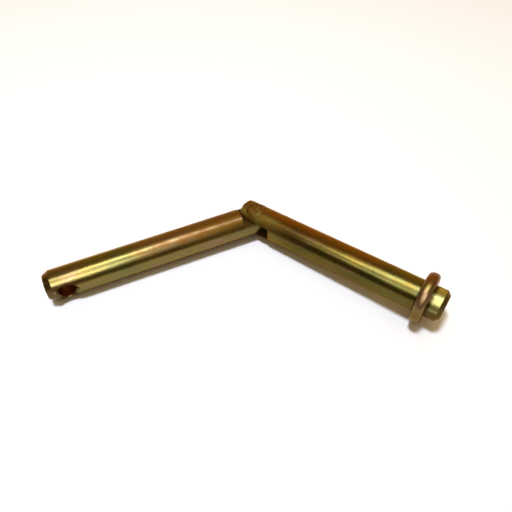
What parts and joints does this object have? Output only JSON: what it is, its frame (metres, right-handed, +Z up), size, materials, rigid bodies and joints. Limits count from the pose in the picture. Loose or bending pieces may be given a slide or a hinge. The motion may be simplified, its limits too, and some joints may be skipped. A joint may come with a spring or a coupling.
{
  "type": "folding hinge pin",
  "caption": "Round steel pin that folds at a riveted knuckle in its middle, with a fixed collar and stub at one end and a cross hole for a linch pin at the other.",
  "frame": {"origin": "middle of the ground area that the pin's box covers, at ground level, as it lies folded", "axes": "+Z up; the tail half with the cross hole points along -X, its cross hole along Y; the head half with the collar swings towards -Y"},
  "size_m": [0.2204, 0.1282, 0.0331],
  "materials": {
    "bar_zinc": "yellow zinc plate, satin",
    "tail_zinc": "yellow zinc plate, satin",
    "collar_zinc": "yellow zinc plate, satin",
    "rivet_zinc": "peened and zinc plated, rough satin"
  },
  "bodies": {
    "head_body": {"forked_half": "bar_zinc", "collar": "collar_zinc", "hinge_rivet": "rivet_zinc"},
    "tail_body": {"tongue_half": "tail_zinc"}
  },
  "joints": [
    {"name": "knuckle", "type": "hinge", "parent": "head_body", "child": "tail_body", "pos_m": [0.0313, 0.05289, 0.01081], "axis": [-0.0058, 0.0521, 0.9986], "range_deg": [-148, 32]}
  ]
}
